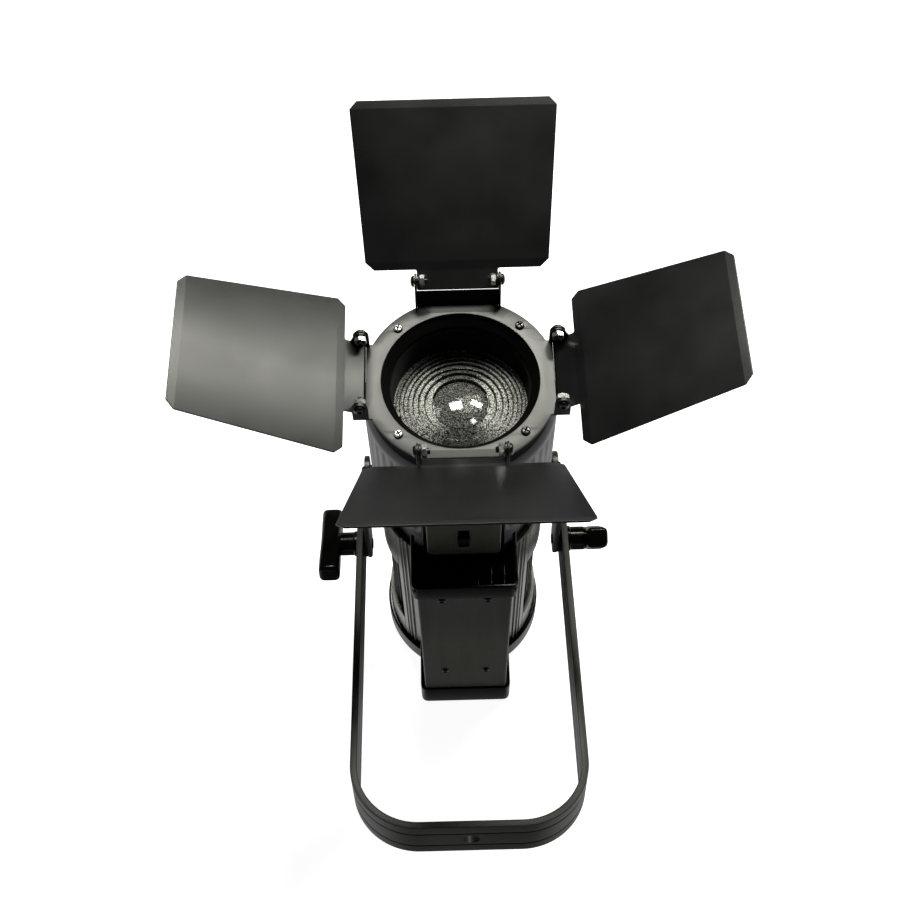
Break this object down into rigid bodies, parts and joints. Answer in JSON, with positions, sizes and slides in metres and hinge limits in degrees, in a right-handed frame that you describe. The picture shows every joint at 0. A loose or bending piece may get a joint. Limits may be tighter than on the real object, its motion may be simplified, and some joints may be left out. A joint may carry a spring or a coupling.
{
  "type": "fresnel spotlight",
  "caption": "Compact theatre fresnel spotlight: ribbed tube body with driver box, stepped lens, hinged barn-door leaves, tilting U yoke with knobs and a focus slider",
  "frame": {"origin": "on the optical axis, in the plane of the rear end on which the lamp stands", "axes": "+Z is the optical axis and points out of the lens; -Y is the belly side with the driver box; +X is to the right when the belly faces the viewer and the lens points up"},
  "size_m": [0.3374, 0.4104, 0.4597],
  "materials": {
    "black_aluminium": "satin",
    "black_steel": "satin",
    "black_screw": "satin",
    "zinc": "polished",
    "gloss_plastic": "gloss",
    "matte_plastic": "matte",
    "bare_aluminium": "satin",
    "bare_steel": "polished",
    "lens_glass": "polished",
    "led_yellow": "matte"
  },
  "bodies": {
    "housing": {"heatsink_housing": "black_aluminium", "front_barrel": "black_aluminium", "driver_housing": "black_aluminium", "focus_housing": "black_aluminium", "front_collar": "black_steel", "lens_baffle": "black_steel", "lens_retainer": "black_steel", "side_bracket_left": "black_steel", "side_bracket_right": "black_steel", "barndoor_frame": "black_steel", "hinge_screw_upper_a": "black_screw", "hinge_screw_upper_b": "black_screw", "hinge_screw_left_a": "black_screw", "hinge_screw_left_b": "black_screw", "hinge_screw_lower_a": "black_screw", "hinge_screw_lower_b": "black_screw", "hinge_screw_right_a": "black_screw", "hinge_screw_right_b": "black_screw", "bracket_screw_left_1": "black_screw", "bracket_screw_left_2": "black_screw", "bracket_screw_right_1": "black_screw", "bracket_screw_right_2": "black_screw", "box_screw_1": "black_screw", "box_screw_2": "black_screw", "box_screw_3": "black_screw", "box_screw_4": "black_screw", "hinge_nut_upper_a": "zinc", "hinge_nut_upper_b": "zinc", "hinge_nut_left_a": "zinc", "hinge_nut_left_b": "zinc", "hinge_nut_lower_a": "zinc", "hinge_nut_lower_b": "zinc", "hinge_nut_right_a": "zinc", "hinge_nut_right_b": "zinc", "frame_screw_1": "zinc", "frame_screw_2": "zinc", "frame_screw_3": "zinc", "frame_screw_4": "zinc", "rear_cover": "gloss_plastic", "driver_front_cap": "gloss_plastic", "driver_rear_cap": "gloss_plastic", "power_inlet": "matte_plastic", "pivot_washer_left": "matte_plastic", "pivot_washer_right": "matte_plastic", "cooling_core": "bare_aluminium", "led_driver": "bare_aluminium", "guide_rod_left": "bare_steel", "guide_rod_right": "bare_steel", "fresnel_lens": "lens_glass"},
    "yoke": {"yoke": "black_aluminium"},
    "knob_left": {"knob_left": "gloss_plastic"},
    "knob_right": {"knob_right": "gloss_plastic"},
    "leaf_upper": {"leaf_upper": "black_steel"},
    "leaf_left": {"leaf_left": "black_steel"},
    "leaf_lower": {"leaf_lower": "black_steel"},
    "leaf_right": {"leaf_right": "black_steel"},
    "focus": {"focus_slider": "matte_plastic", "lamp_carriage": "bare_aluminium", "led_module": "led_yellow", "reflector": "bare_aluminium"}
  },
  "joints": [
    {"name": "yoke_tilt", "type": "hinge", "parent": "housing", "child": "yoke", "pos_m": [0, 0, 0.12175], "axis": [1, 0, 0], "range_deg": [-60, 190]},
    {"name": "knob_left_turn", "type": "hinge", "parent": "housing", "child": "knob_left", "pos_m": [0, 0, 0.12175], "axis": [-1, 0, 0], "range_deg": [-90, 90]},
    {"name": "knob_right_turn", "type": "hinge", "parent": "housing", "child": "knob_right", "pos_m": [0, 0, 0.12175], "axis": [1, 0, 0], "range_deg": [-90, 90]},
    {"name": "leaf_upper_hinge", "type": "hinge", "parent": "housing", "child": "leaf_upper", "pos_m": [0, 0.0622, 0.3803], "axis": [1, 0, 0], "range_deg": [-40, 69.5]},
    {"name": "leaf_lower_hinge", "type": "hinge", "parent": "housing", "child": "leaf_lower", "pos_m": [0, -0.0622, 0.3803], "axis": [-1, 0, 0], "range_deg": [-55.5, 54]},
    {"name": "leaf_left_hinge", "type": "hinge", "parent": "housing", "child": "leaf_left", "pos_m": [-0.06215, 0, 0.3723], "axis": [0, 1, 0], "range_deg": [-34, 75.5]},
    {"name": "leaf_right_hinge", "type": "hinge", "parent": "housing", "child": "leaf_right", "pos_m": [0.06215, 0, 0.3723], "axis": [0, -1, 0], "range_deg": [-40, 69.5]},
    {"name": "focus_slide", "type": "slide", "parent": "housing", "child": "focus", "axis": [0, 0, 1], "range_m": [-0.008, 0.008]}
  ]
}
